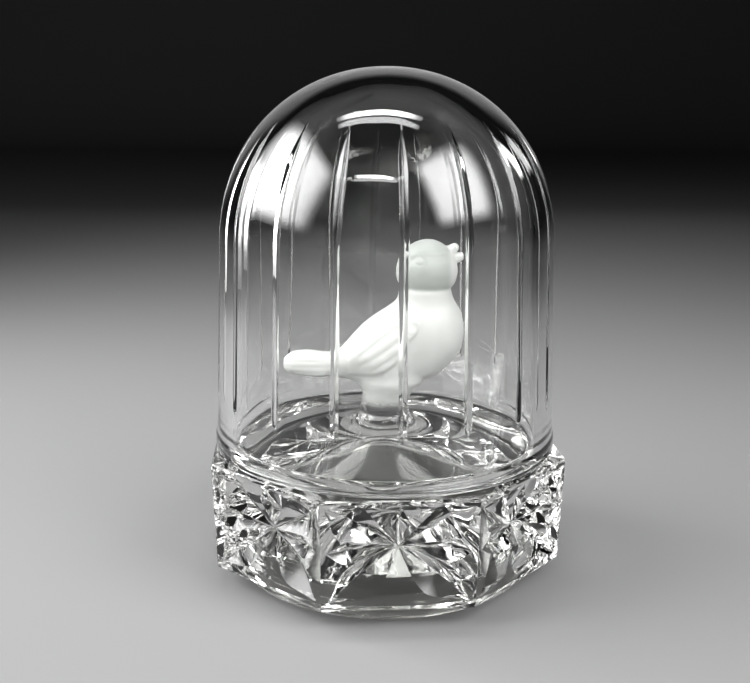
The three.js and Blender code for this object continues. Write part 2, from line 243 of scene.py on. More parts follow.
def frosted(name):
    """Satin glass: white, finely etched, a little light passing into it."""
    mat = bpy.data.materials.new(name)
    mat.use_nodes = True
    nt = mat.node_tree
    nt.nodes.clear()
    out = node(nt, "ShaderNodeOutputMaterial", 900, 0)
    p = node(nt, "ShaderNodeBsdfPrincipled", 400, 0)
    p.inputs["IOR"].default_value = 1.5
    p.inputs["Subsurface Weight"].default_value = 0.5
    p.inputs["Subsurface Radius"].default_value = (1.0, 1.0, 1.0)
    p.inputs["Subsurface Scale"].default_value = 0.0035
    tc = node(nt, "ShaderNodeTexCoord", -1200, 0)
    # colour: white, a hair cooler and greyer in patches where the etch is thinner
    n1 = node(nt, "ShaderNodeTexNoise", -900, 300, Scale=90.0, Detail=5.0, Roughness=0.6)
    nt.links.new(tc.outputs["Object"], n1.inputs["Vector"])
    ramp = node(nt, "ShaderNodeValToRGB", -650, 300)
    ramp.color_ramp.elements[0].position = 0.3
    ramp.color_ramp.elements[1].position = 0.75
    ramp.color_ramp.elements[0].color = (0.62, 0.628, 0.618, 1)
    ramp.color_ramp.elements[1].color = (0.70, 0.705, 0.69, 1)
    nt.links.new(n1.outputs["Fac"], ramp.inputs["Fac"])
    sep = node(nt, "ShaderNodeSeparateXYZ", -900, -50)
    nt.links.new(tc.outputs["Object"], sep.inputs[0])
    # painted shade: the head above the collar line is coloured a shade greyer than the body, standing in for its
    # darker look beside the lit, upward-facing top of the body; the beak is left out of it
    head = node(nt, "ShaderNodeMapRange", -650, 600)
    head.interpolation_type = "SMOOTHSTEP"
    for k, v in (("From Min", 0.0705), ("From Max", 0.0722), ("To Min", 0.0), ("To Max", 1.0)):
        head.inputs[k].default_value = v
    nt.links.new(sep.outputs["Z"], head.inputs["Value"])
    nose = node(nt, "ShaderNodeMapRange", -650, 850)
    nose.interpolation_type = "SMOOTHSTEP"
    for k, v in (("From Min", 0.0145), ("From Max", 0.0165), ("To Min", 1.0), ("To Max", 0.0)):
        nose.inputs[k].default_value = v
    nt.links.new(sep.outputs["X"], nose.inputs["Value"])
    head_shade_mask = node(nt, "ShaderNodeMath", -400, 700)
    head_shade_mask.operation = "MULTIPLY"
    nt.links.new(head.outputs["Result"], head_shade_mask.inputs[0])
    nt.links.new(nose.outputs["Result"], head_shade_mask.inputs[1])
    # painted shade: the head mask multiplies the greyer tint into the base colour
    shade_mix = node(nt, "ShaderNodeMix", -150, 400)
    shade_mix.data_type = "RGBA"
    shade_mix.blend_type = "MULTIPLY"
    nt.links.new(head_shade_mask.outputs[0], shade_mix.inputs[0])
    nt.links.new(ramp.outputs["Color"], shade_mix.inputs[6])
    shade_mix.inputs[7].default_value = (0.68, 0.70, 0.69, 1)
    nt.links.new(shade_mix.outputs[2], p.inputs["Base Color"])
    p.inputs["Sheen Weight"].default_value = 0.22
    p.inputs["Sheen Roughness"].default_value = 0.35
    # the etch stops a few millimetres above the foot of the stem
    wob = node(nt, "ShaderNodeMath", -700, -50)
    wob.operation = "MULTIPLY_ADD"
    nt.links.new(n1.outputs["Fac"], wob.inputs[0])
    wob.inputs[1].default_value = 0.0022
    nt.links.new(sep.outputs["Z"], wob.inputs[2])
    etch = node(nt, "ShaderNodeMapRange", -450, -50)
    etch.interpolation_type = "SMOOTHSTEP"
    etch.inputs["From Min"].default_value = 0.0415
    etch.inputs["From Max"].default_value = 0.0470
    nt.links.new(wob.outputs[0], etch.inputs["Value"])
    trans = node(nt, "ShaderNodeMapRange", -150, -50)
    trans.inputs["To Min"].default_value = 0.98
    trans.inputs["To Max"].default_value = 0.16
    nt.links.new(etch.outputs["Result"], trans.inputs["Value"])
    nt.links.new(trans.outputs["Result"], p.inputs["Transmission Weight"])
    # roughness: etched above, bright below, with grain
    n2 = node(nt, "ShaderNodeTexNoise", -900, -300, Scale=700.0, Detail=4.0, Roughness=0.6)
    nt.links.new(tc.outputs["Object"], n2.inputs["Vector"])
    r1 = node(nt, "ShaderNodeMapRange", -450, -300)
    r1.inputs["From Min"].default_value = 0.3
    r1.inputs["From Max"].default_value = 0.7
    r1.inputs["To Min"].default_value = 0.46
    r1.inputs["To Max"].default_value = 0.62
    nt.links.new(n2.outputs["Fac"], r1.inputs["Value"])
    mixr = node(nt, "ShaderNodeMix", -150, -300)
    mixr.data_type = "FLOAT"
    mixr.inputs[2].default_value = 0.10
    nt.links.new(etch.outputs["Result"], mixr.inputs[0])
    nt.links.new(r1.outputs["Result"], mixr.inputs[3])
    nt.links.new(mixr.outputs[0], p.inputs["Roughness"])
    bump = node(nt, "ShaderNodeBump", 100, -450, Strength=0.12, Distance=0.00005)
    nt.links.new(n2.outputs["Fac"], bump.inputs["Height"])
    nt.links.new(bump.outputs["Normal"], p.inputs["Normal"])
    nt.links.new(p.outputs[0], out.inputs["Surface"])
    return mat


MAT_JAR = glass("jar_glass", (0.985, 0.990, 0.982), 1.54, 0.0, 0.02, 0.10, 55.0, streak=(1, 1, 0.25))
MAT_BASE = glass("crystal", (0.982, 0.985, 0.965), 1.54, 0.0, 0.015, 0.10, 140.0, passes=0.3, worn=0.00016)
MAT_BOND = glass("adhesive", (0.98, 0.985, 0.97), 1.49, 0.02, 0.05, 0.05, 300.0)
MAT_BIRD = frosted("frosted_glass")


# --------------------------------------------------------------------------
# bell jar
# --------------------------------------------------------------------------
def crown(angle, radius, height):
    """angle in radians from the spring (0) to the top (90 deg)"""
    c, s = max(math.cos(angle), 0.0), max(math.sin(angle), 0.0)
    return radius * c ** (2 / CROWN_N), SPRING_Z + height * s ** (2 / CROWN_N)


def make_jar():
    bead_top = SEAT_Z + BEAD_H
    # outer profile from the top down: (r, z, groove fraction)
    pts = []
    end = math.radians(90 - CUT_END_ANGLE)

    def frac_crown(a):
        # full along the wall, a little wider at the shoulder, dying out on the crown
        f = 1.0 + 0.04 * math.sin(min(a / math.radians(28), 1) * math.pi / 2)
        fade = 1 - smoothstep(np.array(a), math.radians(29), end)
        return float(f * fade ** 0.8)

    n_crown = 62
    for i in range(n_crown):
        a = math.radians(90) * (1 - i / n_crown)
        # even spacing along the arc
        r, z = crown(a, JAR_R, CROWN_H)
        pts.append((r, z, frac_crown(a) if a < end else 0.0))

    def wall_r(z):
        return JAR_R + (JAR_R_BOT - JAR_R) * (SPRING_Z - z) / (SPRING_Z - bead_top)

    lo = CUT_BOTTOM_Z - 0.7

    def frac_wall(z):
        # blunt, rounded lower end
        t = np.clip((z - lo) / 2.2, 0, 1)
        return float(math.sqrt(max(0.0, 1 - (1 - t) ** 2)))

    for z in np.linspace(SPRING_Z, 52, 14):
        pts.append((wall_r(z), z, frac_wall(z)))
    for z in [50, 49, 48.2, 47.5, 47.0, 46.5, 46.1, 45.8, 45.5, 45.25, 45.05, 44.93, 44.8, 44.0, 42.5, 40.5, 38.5, 37.2]:
        pts.append((wall_r(z), z, frac_wall(z)))
    # rim bead: a soft step out, then a rounded lip
    for t in np.linspace(0, 1, 7):
        z = 36.4 - 1.5 * t
        s = t * t * (3 - 2 * t)
        pts.append((wall_r(z) * (1 - s) + (BEAD_R) * s, z, 0))
    pts.append((BEAD_R, 33.6, 0))
    pts += [(r, z, 0) for r, z in arc(BEAD_R - 1.35, SEAT_Z + 1.35, 1.35, 0, -90, 9)]
    inner_r = JAR_R_BOT - WALL
    pts += [(inner_r + 2.2, SEAT_Z, 0)]
    pts += [(r, z, 0) for r, z in arc(inner_r + 1.0, SEAT_Z + 1.0, 1.0, -90, -180, 7)]
    n_out = len(pts)
    for z in np.linspace(36, SPRING_Z, 14):
        pts.append((inner_r + (JAR_R - WALL - inner_r) * (z - SEAT_Z) / (SPRING_Z - SEAT_Z), z, 0))
    n_in = 44
    for i in range(1, n_in):
        a = math.radians(90) * i / n_in
        r, z = crown(a, JAR_R - WALL, CROWN_H - WALL)
        pts.append((r, z, 0))
    pts.append((0.0, SPRING_Z + CROWN_H - WALL, 0))
    pts[0] = (0.0, SPRING_Z + CROWN_H, 0)
    P = np.array(pts)
    # normals of the profile
    T = np.gradient(P[:, :2], axis=0)
    N = np.stack([-T[:, 1], T[:, 0]], -1)
    N /= np.linalg.norm(N, axis=1)[:, None]
    # outer side must point away from the axis
    if N[30, 0] < 0:
        N = -N
    # columns: offsets from the middle of a cut, in half widths, then even steps
    e = 0.14
    near = [0, .08, .16, .26, .4, .58, .74, .84, .91, .97, 1.03, 1.1, 1.2]
    # the seven front cuts are a little further apart than the others
    back_step = (360 - 6 * CUT_STEP) / (JAR_CUTS - 6)
    mids = [CUT_STEP * k if k <= 3 else 3 * CUT_STEP + back_step * (k - 3) for k in range(-3, JAR_CUTS - 3)]
    mids = [math.radians(m - 90 + CUT_PHASE) for m in mids]
    sector = math.radians(360 / JAR_CUTS)
    cols_per = 2 * (len(near) - 1) + 1 + 9
    verts, rows = [], []

    def vee(t):
        t = np.abs(t)
        # a V with slightly rounded root and rounded lips
        d = 1 - np.sqrt(t * t + e * e * 1.4)
        return max(d, 0.0) + max(e - abs(d), 0.0) ** 2 / (4 * e)
    for i, (r, z, f) in enumerate(P):
        if r < 1e-6:
            rows.append([len(verts)])
            verts.append((0, 0, z))
            continue
        if i < n_crown:
            half = CUT_HALF * max(f, 0.35 if i > 6 else 0.35)
        else:
            half = CUT_HALF * max(f, 0.35)
        ha = half / max(r, 6.0)
        ha = min(ha, sector * 0.2)
        row = []
        for k in range(JAR_CUTS):
            mid = mids[k]
            following = mids[k + 1] if k + 1 < JAR_CUTS else mids[0] + 2 * math.pi
            offs = [-x for x in near[:0:-1]] + near
            angs = [mid + x * ha for x in offs]
            ts = list(offs)
            a0, a1 = mid + near[-1] * ha, following - near[-1] * ha
            for j in range(1, 10):
                angs.append(a0 + (a1 - a0) * j / 10)
                ts.append(9.0)
            for a, t in zip(angs, ts):
                d = 0.0
                if f > 0:
                    d = CUT_DEPTH * f * float(vee(t)) if abs(t) < 2.5 else 0.0
                rr = r - N[i, 0] * d
                zz = z - N[i, 1] * d
                row.append(len(verts))
                verts.append((rr * math.cos(a), rr * math.sin(a), zz))
        rows.append(row)
    verts = np.array(verts)
    # the moulded inner wall is never quite true: a slow waviness of hundredths of a millimetre
    ang = np.arctan2(verts[:, 1], verts[:, 0])
    rad = np.hypot(verts[:, 0], verts[:, 1])
    start_in = rows[n_out][0]
    w = 0.05 * np.sin(5 * ang + 0.6) + 0.035 * np.sin(11 * ang + verts[:, 2] * 0.05) + 0.03 * np.sin(verts[:, 2] * 0.22 + 2 * ang)
    m = np.arange(len(verts)) >= start_in
    fade = smoothstep(rad, 2.0, 20.0)
    scale = np.where(m, 1 + w * fade / np.maximum(rad, 1.0), 1.0)
    verts[:, 0] *= scale
    verts[:, 1] *= scale
    faces = []
    for a, b in zip(rows[:-1], rows[1:]):
        n = max(len(a), len(b))
        for i in range(n):
            j = (i + 1) % n
            if len(a) == 1:
                faces.append((a[0], b[i], b[j]))
            elif len(b) == 1:
                faces.append((a[j], a[i], b[0]))
            else:
                faces.append((a[j], a[i], b[i], b[j]))
    ob = mesh_object("glass_dome_shell", verts * MM, faces)
    face_out(ob)
    shade(ob)
    ob.data.materials.append(MAT_JAR)
    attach(ob, "dome")
    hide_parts("glass_dome")
    return ob


# --------------------------------------------------------------------------
# crystal base
# --------------------------------------------------------------------------
# tip (across, up), half width, place of the widest point, kind, reach of the dish
STAR_CUTS = [
    ((0, 10.7), 2.1, 0.66, "kite", 11.4),
    ((-17.0, 10.7), 3.6, 0.70, "kite", 18.11),
    ((17.0, 10.7), 3.6, 0.70, "kite", 18.11),
    ((-16.4, -0.2), 3.1, 0.72, "kite", 12.65),
    ((16.4, -0.2), 3.1, 0.72, "kite", 12.65),
    ((-16.0, -12.2), 2.95, 0.57, "leaf", 17.32),
    ((16.0, -12.2), 2.95, 0.57, "leaf", 17.32),
]
DISH_DEPTH = 3.3
DISH = [(0, 11.4), (-15.4, 9.9), (-12.6, 0.2), (-14.0, -10.5), (14.0, -10.5), (12.6, 0.2), (15.4, 9.9)]
LEAN = (AP_TOP - AP_BOT) / (SEAT_Z - OCT_CHAMFER - FOOT_Z - 0.6)


def wedge_mesh(stations, lift, verts, faces):
    """adds one closed V-section wedge; root slightly rounded"""
    first = len(verts)
    n_sec = 5
    for p, n, s, half, depth in stations:
        slope = V_SLOPE
        reach = half + lift / slope
        q = min(0.16, 0.3 * half)  # rounding of the root
        pts = [
            p + n * lift - s * reach,
            p + n * lift + s * reach,
            p - n * (depth - q * slope) + s * q,
            p - n * (depth - q * slope * 0.4),
            p - n * (depth - q * slope) - s * q,
        ]
        verts += [tuple(v * MM) for v in pts]
    m = len(stations)
    for i in range(m - 1):
        for k in range(n_sec):
            l = (k + 1) % n_sec
            a, b = first + i * n_sec, first + (i + 1) * n_sec
            faces.append((a + k, b + k, b + l, a + l))
    faces.append(tuple(first + k for k in range(n_sec)))
    faces.append(tuple(first + (m - 1) * n_sec + k for k in reversed(range(n_sec))))


def make_base():
    c8 = math.cos(math.pi / 8)
    body = turned("crystal_base_body", [
        (0, FOOT_Z),
        ((AP_BOT - 0.6) / c8, FOOT_Z),
        ((AP_BOT - 0.17) / c8, FOOT_Z + 0.2),
        (AP_BOT / c8, FOOT_Z + 0.65),
        (AP_TOP / c8, SEAT_Z - OCT_CHAMFER),
        ((AP_TOP - 0.12) / c8, SEAT_Z - 0.32),
        ((AP_TOP - 0.45) / c8, SEAT_Z - 0.05),
        ((AP_TOP - 0.9) / c8, SEAT_Z),
        (0, SEAT_Z),
    ], 8, math.pi / 8)
    seg = 144
    foot = turned("foot", [(0, 0.0), (FOOT_R - 1.2, 0.0)]
                  + arc(FOOT_R - 1.2, 1.2, 1.2, -80, 0, 7)
                  + [(FOOT_R + 0.3, FOOT_Z - 0.4), (FOOT_R + 0.5, FOOT_Z + 0.6), (0, FOOT_Z + 0.6)], seg, 0.01)
    # raised floor and flared neck, one smooth sweep
    ctrl = [(30.0, BOSS_Z + 0.15), (26.0, BOSS_Z + 0.38), (22.0, BOSS_Z + 0.70), (18.5, BOSS_Z + 1.05),
            (15.0, BOSS_Z + 1.6), (12.8, BOSS_Z + 2.03), (11.0, BOSS_Z + 2.5), (9.6, BOSS_Z + 3.0),
            (8.6, BOSS_Z + 3.6), (7.8, BOSS_Z + 4.15), (7.1, BOSS_Z + 4.8), (6.5, BOSS_Z + 5.45), (NECK_R, NECK_Z)]
    floor = turned("floor", [(0, SEAT_Z - 1), (BOSS_R, SEAT_Z - 1), (BOSS_R, BOSS_Z - 0.7)]
                   + arc(BOSS_R - 0.7, BOSS_Z - 0.7, 0.7, 15, 90, 6)
                   + [(33, BOSS_Z + 0.05)] + ctrl + [(0, NECK_Z)], seg, 0.01)
    recess = turned("recess", [(0, -2), (RECESS_R + 0.9, -2), (RECESS_R + 0.6, 0.0), (RECESS_R + 0.1, 0.7),
                               (RECESS_R - 0.8, RECESS_WALL_Z - 1.5), (RECESS_R - 1.1, RECESS_WALL_Z - 0.7),
                               (RECESS_R - 1.7, RECESS_WALL_Z - 0.1), (RECESS_R - 2.6, RECESS_WALL_Z + 0.3),
                               (24, 11.9), (16, 16.2), (10, 19.7), (5, 22.6), (3.2, 23.4), (1.8, RECESS_TOP_Z - 0.2),
                               (0, RECESS_TOP_Z)], seg, 0.01)
    boolean(body, foot, "UNION")
    boolean(body, floor, "UNION")
    boolean(body, recess, "DIFFERENCE")
    verts, faces = [], []
    for k in range(8):
        az = math.radians(-90 + 45 * k)
        radial = Vector((math.cos(az), math.sin(az), 0))
        across = Vector((-math.sin(az), math.cos(az), 0))
        up = (radial * LEAN + Vector((0, 0, 1))).normalized()
        out = across.cross(up).normalized()
        ap = AP_BOT + (STAR_Z - FOOT_Z - 0.6) * LEAN
        centre = radial * ap + Vector((0, 0, STAR_Z))
        lift = 0.8
        grow = (DISH_DEPTH + lift) / DISH_DEPTH
        first = len(verts)
        m = len(DISH)
        verts += [tuple((centre + (across * u + up * v) * grow + out * lift) * MM) for u, v in DISH]
        verts.append(tuple((centre - out * DISH_DEPTH) * MM))
        faces.append(tuple(first + i for i in range(m)))
        faces += [(first + (i + 1) % m, first + i, first + m) for i in range(m)]
        for (tx, ty), half, peak, kind, reach in STAR_CUTS:
            length = math.hypot(tx, ty)
            along = across * (tx / length) + up * (ty / length)
            side = out.cross(along).normalized()
            ts = [-0.035, 0.0, 0.12, 0.25, 0.4, 0.55, peak - 0.06, peak, peak + 0.06]
            ts += list(np.linspace(peak + 0.12, 1.0, 5))
            ts = sorted(set(round(t, 4) for t in ts))
            st = []
            for t in ts:
                if t <= 0:
                    w = 0.12
                elif kind == "kite":
                    if t <= peak:
                        w = half * (t / peak)
                    else:
                        w = half * max(0.0, 1 - (t - peak) / (1 - peak)) ** 0.9
                    # ease the widest point
                    w = min(w, half * (1 - 0.035 * max(0.0, 1 - abs(t - peak) / 0.09)))
                else:
                    w = half * (math.sin(math.pi / 2 * t / peak) if t < peak
                                else math.cos(math.pi / 2 * min(1.0, (t - peak) / (1 - peak))) ** 0.95)
                w = 0.03 if t >= 1 else max(w, 0.12)
                sunk = DISH_DEPTH * min(max(1 - t * length / reach, 0.0), 1.0)
                depth = w * V_SLOPE + sunk
                st.append((centre + along * (t * length), out, side, depth / V_SLOPE, depth))
            wedge_mesh(st, 1.2, verts, faces)
    cuts = mesh_object("cuts", verts, faces)
    face_out(cuts)
    boolean(body, cuts, "DIFFERENCE", self_hit=True)
    bm = bmesh.new()
    bm.from_mesh(body.data)
    bmesh.ops.remove_doubles(bm, verts=bm.verts[:], dist=0.00001)
    bmesh.ops.dissolve_degenerate(bm, edges=bm.edges[:], dist=0.00001)
    open_edges = [e for e in bm.edges if not e.is_manifold]
    print("base: verts", len(bm.verts), "faces", len(bm.faces), "open edges", len(open_edges))
    bm.to_mesh(body.data)
    bm.free()
    shade(body, 14)
    body.data.materials.append(MAT_BASE)
    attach(body, "base")
    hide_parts("crystal_base")
    return body


# --------------------------------------------------------------------------
# bird: a distance field, sampled on a fine grid and skinned
# --------------------------------------------------------------------------
def smin(a, b, k):
    h = np.clip(0.5 + 0.5 * (b - a) / k, 0, 1)
    return b * (1 - h) + a * h - k * h * (1 - h)


def smax(a, b, k):
    return -smin(-a, -b, k)


def ellipsoid(X, Y, Z, c, r, tilt=0.0):
    t = math.radians(tilt)
    x, z = X - c[0], Z - c[2]
    u = x * math.cos(t) + z * math.sin(t)
    w = -x * math.sin(t) + z * math.cos(t)
    y = Y - c[1]
    k0 = np.sqrt((u / r[0]) ** 2 + (y / r[1]) ** 2 + (w / r[2]) ** 2)
    k1 = np.sqrt((u / r[0] ** 2) ** 2 + (y / r[1] ** 2) ** 2 + (w / r[2] ** 2) ** 2)
    return k0 * (k0 - 1) / np.maximum(k1, 1e-9)


def round_cone(X, Y, Z, a, b, ra, rb, flat=1.0):
    a, b = np.array(a, float), np.array(b, float)
    d = b - a
    L2 = d @ d
    px, py, pz = X - a[0], (Y - a[1]) / flat, Z - a[2]
    t = np.clip((px * d[0] + py * d[1] + pz * d[2]) / L2, 0, 1)
    q = np.sqrt((px - t * d[0]) ** 2 + (py - t * d[1]) ** 2 + (pz - t * d[2]) ** 2)
    return q - (ra + (rb - ra) * t)


def seg2(X, Z, a, b):
    d = (b[0] - a[0], b[1] - a[1])
    L2 = d[0] ** 2 + d[1] ** 2
    t = np.clip(((X - a[0]) * d[0] + (Z - a[1]) * d[1]) / L2, 0, 1)
    return np.hypot(X - a[0] - t * d[0], Z - a[1] - t * d[1]), t


BIRD_Z = NECK_Z + BOND_T

# side outline of the bird (x, z); the field is eased on to it
OUTLINE = np.array([
    (4.7, 80.9), (6.3, 82.1), (8.6, 83.0), (10.6, 83.2), (12.7, 82.8), (14.4, 81.9), (15.6, 80.9),
    (18.0, 75.8), (17.8, 73.9), (16.9, 71.8),
    (16.3, 70.5), (17.3, 68.2), (18.8, 65.4), (19.8, 62.7), (20.0, 59.5), (19.4, 56.4), (17.0, 52.7),
    (14.4, 50.3), (11.8, 48.5), (9.2, 46.8), (7.1, 45.3), (6.2, 44.0), (6.0, 42.0),
    (3.6, 80.0), (2.7, 77.8), (2.45, 75.6), (2.6, 73.3), (3.1, 70.8), (2.9, 68.7), (1.7, 67.1), (-1.5, 64.8),
    (-6.1, 61.2), (-9.3, 58.0), (-12.4, 55.2), (-15.6, 54.9), (-19.8, 55.5), (-22.3, 55.4), (-24.6, 54.1),
    (-25.6, 52.1), (-24.8, 50.3), (-22.3, 49.3), (-19.6, 48.8), (-16.0, 48.4), (-12.9, 48.7), (-10.6, 48.3),
    (-7.9, 47.7), (-6.4, 46.4), (-5.6, 44.6), (-5.8, 42.4)])


def bird_field(X, Y, Z):
    f = plain_bird(X, Y, Z)
    # two rounds of easing, broad then close
    for spread in (2.6, 1.5):
        key = ("ease", spread)
        if key not in EASE:
            p = OUTLINE
            miss = plain_bird(p[:, 0], 0 * p[:, 0], p[:, 1])
            for k2, (s2, m2) in EASE.items():
                miss = miss + ease(p[:, 0], p[:, 1], m2, s2)
            EASE[key] = (spread, -miss)
        f = f + ease(X, Z, EASE[key][1], spread)
    # beak: two short stout lobes that part only at their tips
    ay = np.abs(Y)
    up = round_cone(X, ay, Z, (14.4, 0, 79.3), (17.15, 0, 81.15), 2.0, 1.1, 0.9)
    lo = round_cone(X, ay, Z, (14.4, 0, 78.2), (18.6, 0, 79.0), 2.1, 1.1, 0.9)
    mid = round_cone(X, ay, Z, (14.4, 0, 78.8), (16.7, 0, 80.05), 2.2, 1.0, 0.9)
    beak = smin(smin(up, lo, 0.45), mid, 0.5)
    gape, t = seg2(X, Z, (15.4, 79.0), (18.9, 80.4))
    beak = beak + 0.12 * np.exp(-(gape / 0.33) ** 2)
    f = smin(f, beak, 0.5)
    return np.maximum(f, BIRD_Z - Z)


EASE = {}


def ease(X, Z, amount, spread):
    num = np.zeros(np.shape(X))
    den = np.full(np.shape(X), 0.25)
    if num.ndim == 3:
        x2, z2 = X[:, :1, :], Z[:, :1, :]
        num, den = np.zeros(x2.shape), np.full(x2.shape, 0.25)
    else:
        x2, z2 = X, Z
    for (px, pz), a in zip(OUTLINE, amount):
        w = np.exp(-((x2 - px) ** 2 + (z2 - pz) ** 2) / (2 * spread ** 2))
        num += w * a
        den += w
    return num / den


def plain_bird(X, Y, Z):
    ay = np.abs(Y)
    # torso
    f = ellipsoid(X, ay, Z, (1.9, 0, 56.3), (14.2, 8.7, 9.0), 39)
    f = smin(f, ellipsoid(X, ay, Z, (10.4, 0, 60.3), (9.8, 8.8, 11.0)), 2.0)
    # rump, then the tail: a rounded paddle, a little deeper at its end
    f = smin(f, ellipsoid(X, ay, Z, (-8.4, 0, 51.5), (7.4, 5.6, 5.4), 18), 2.0)
    tail = smax(ellipsoid(X, ay, Z, (-14.6, 0, 51.9), (11.0, 4.2, 5.2), -1.0), np.abs(Z - 51.9) - 3.3, 1.6)
    tail = smin(tail, round_cone(X, ay, Z, (-22.4, 0, 52.25), (-12, 0, 51.7), 3.2, 3.2), 1.2)
    f = smin(f, tail, 2.2)
    # neck and head
    f = smin(f, ellipsoid(X, ay, Z, (10.0, 0, 69.6), (6.7, 6.4, 6.5)), 1.6)
    head = ellipsoid(X, ay, Z, (10.2, 0, 75.6), (7.75, 7.1, 7.6))
    f = smin(f, head, 0.7)
    # collar line under the head
    ring = np.abs(Z - 71.3 + 0.02 * (X - 10))
    f = f + 0.20 * np.exp(-(ring / 0.7) ** 2)
    base_body = f.copy()
    # folded wing: a plate that follows the body, standing a little proud; its front
    # end is a rounded shoulder that hooks under
    wx, wz = X - (-1.2), Z - 56.6
    t = math.radians(41)
    u = wx * math.cos(t) + wz * math.sin(t)
    w = -wx * math.sin(t) + wz * math.cos(t)
    low = np.interp(u, [-14.5, -9.8, -5.7, 0.4, 4.0, 6.6, 9.0, 10.6, 11.4], [0.2, -2.9, -4.3, -4.3, -3.1, -2.1, -1.7, -0.7, 0.9])
    high = np.interp(u, [-14.5, -8.0, 0.0, 6.0, 9.3, 10.8, 11.4], [0.6, 4.4, 6.2, 5.7, 4.2, 2.6, 0.9])
    wing2 = np.maximum(np.maximum(low - w, w - high) * 0.9, np.abs(u + 1.55) - 12.95)
    wing = smax(base_body - 0.85 * smoothstep(u, -14.0, -3.0), wing2, 1.2)
    wing = np.where(ay > 2.0, wing, 5.0)
    f = smin(f, wing, 0.5)
    # feather grooves, from the shoulder down and back, gone before the wing's tip
    side = smoothstep(ay, 3.0, 5.0)
    fade = side * (0.25 + 0.6 * smoothstep(u, -10.5, -3.5))
    for pts, depth, width in [
        ([(4.4, 66.0), (1.0, 64.7), (-3.6, 62.1)], 0.22, 0.60),
        ([(4.4, 63.7), (1.6, 62.0), (-1.6, 59.6), (-6.9, 55.2)], 0.34, 0.60),
        ([(4.6, 61.0), (1.4, 58.6), (-2.6, 55.6), (-6.4, 52.9)], 0.34, 0.60),
        ([(4.6, 58.0), (2.4, 56.4), (-0.2, 54.3), (-3.2, 52.2)], 0.32, 0.60),
        ([(-4.6, 58.8), (-8.6, 55.6), (-11.4, 53.4)], 0.18, 0.55),
    ]:
        d = None
        for a, b in zip(pts[:-1], pts[1:]):
            q, _ = seg2(X, Z, a, b)
            d = q if d is None else np.minimum(d, q)
        span = math.hypot(pts[-1][0] - pts[0][0], pts[-1][1] - pts[0][1])
        t = ((X - pts[0][0]) * (pts[-1][0] - pts[0][0]) + (Z - pts[0][1]) * (pts[-1][1] - pts[0][1])) / span ** 2
        f = f + fade * depth * np.exp(-(d / width) ** 2) * np.sin(np.pi * np.clip(t * 0.8 + 0.1, 0, 1)) ** 0.6
    # shoulder dimple
    d = np.hypot(X - 5.9, Z - 63.0)
    f = f + side * 0.30 * np.exp(-(d / 1.1) ** 2)
    # eye: a small oval boss in a shallow ring, under a brow crease
    hs = smoothstep(ay, 3.0, 4.5)
    d = np.hypot((X - 7.3) / 1.15, (Z - 78.7) / 0.75)
    f = f + hs * (0.14 * np.exp(-((d - 1.1) / 0.38) ** 2) - 0.10 * np.exp(-(d / 0.6) ** 2))
    d = None
    for a, b in zip([(4.9, 78.4), (7.0, 79.9), (9.4, 79.7), (12.0, 79.5)], [(7.0, 79.9), (9.4, 79.7), (12.0, 79.5), (14.6, 79.8)]):
        q, _ = seg2(X, Z, a, b)
        d = q if d is None else np.minimum(d, q)
    f = f + hs * 0.20 * np.exp(-(d / 0.7) ** 2)
    # tail: long faint quills
    tf = smoothstep(-X, 12.0, 15.0)
    for zc in (50.3, 51.8, 53.3):
        f = f + tf * 0.10 * np.exp(-((Z - zc) / 0.35) ** 2) * smoothstep(ay, 1.0, 2.5)
    # stem: leaves the belly, waists in, meets the neck of the base
    zs = Z - BIRD_Z
    rs = 6.1 - 0.22 * np.sin(np.clip(zs / 5.0, 0, 1) * np.pi) + 1.6 * smoothstep(zs, 4.2, 8.5)
    stem = np.hypot(X - 0.25 * smoothstep(zs, 0, 5), Y) - rs
    stem = smax(stem, Z - 52.0, 1.0)
    f = smin(f, stem, 1.1)
    return f


def surface_nets(F, origin, h):
    nx, ny, nz = F.shape
    s = F < 0
    acc = np.zeros((nx - 1, ny - 1, nz - 1, 3))
    cnt = np.zeros((nx - 1, ny - 1, nz - 1))
    corners = [(i, j, k) for i in (0, 1) for j in (0, 1) for k in (0, 1)]

    def sl(o, n):
        return slice(o, n - 1 + o)
    for a in corners:
        for b in corners:
            diff = np.subtract(b, a)
            if diff.sum() != 1 or (diff < 0).any() or np.abs(diff).sum() != 1:
                continue
            fa = F[sl(a[0], nx), sl(a[1], ny), sl(a[2], nz)]
            fb = F[sl(b[0], nx), sl(b[1], ny), sl(b[2], nz)]
            m = (fa < 0) != (fb < 0)
            t = np.where(m, fa / np.where(m, fa - fb, 1), 0)
            for ax in range(3):
                acc[..., ax] += np.where(m, a[ax] + diff[ax] * t, 0)
            cnt += m
    live = cnt > 0
    index = -np.ones(live.shape, dtype=np.int64)
    index[live] = np.arange(live.sum())
    cell = np.argwhere(live)
    pos = acc[live] / cnt[live][:, None] + cell
    verts = np.array(origin) + pos * h
    quads = []
    # x edges
    for ax in range(3):
        o = [0, 0, 0]
        o[ax] = 1
        a = s[:nx - o[0], :ny - o[1], :nz - o[2]]
        b = s[o[0]:, o[1]:, o[2]:]
        e = np.argwhere(a != b)
        inside_first = a[tuple(e.T)]
        u, v = (ax + 1) % 3, (ax + 2) % 3
        ok = (e[:, u] > 0) & (e[:, v] > 0) & (e[:, u] < F.shape[u] - 1) & (e[:, v] < F.shape[v] - 1)
        e, inside_first = e[ok], inside_first[ok]

        def at(du, dv):
            q = e.copy()
            q[:, u] -= du
            q[:, v] -= dv
            return index[tuple(q.T)]
        q = np.stack([at(0, 0), at(1, 0), at(1, 1), at(0, 1)], -1)
        q[~inside_first] = q[~inside_first][:, ::-1]
        quads.append(q)
    return verts, np.concatenate(quads)


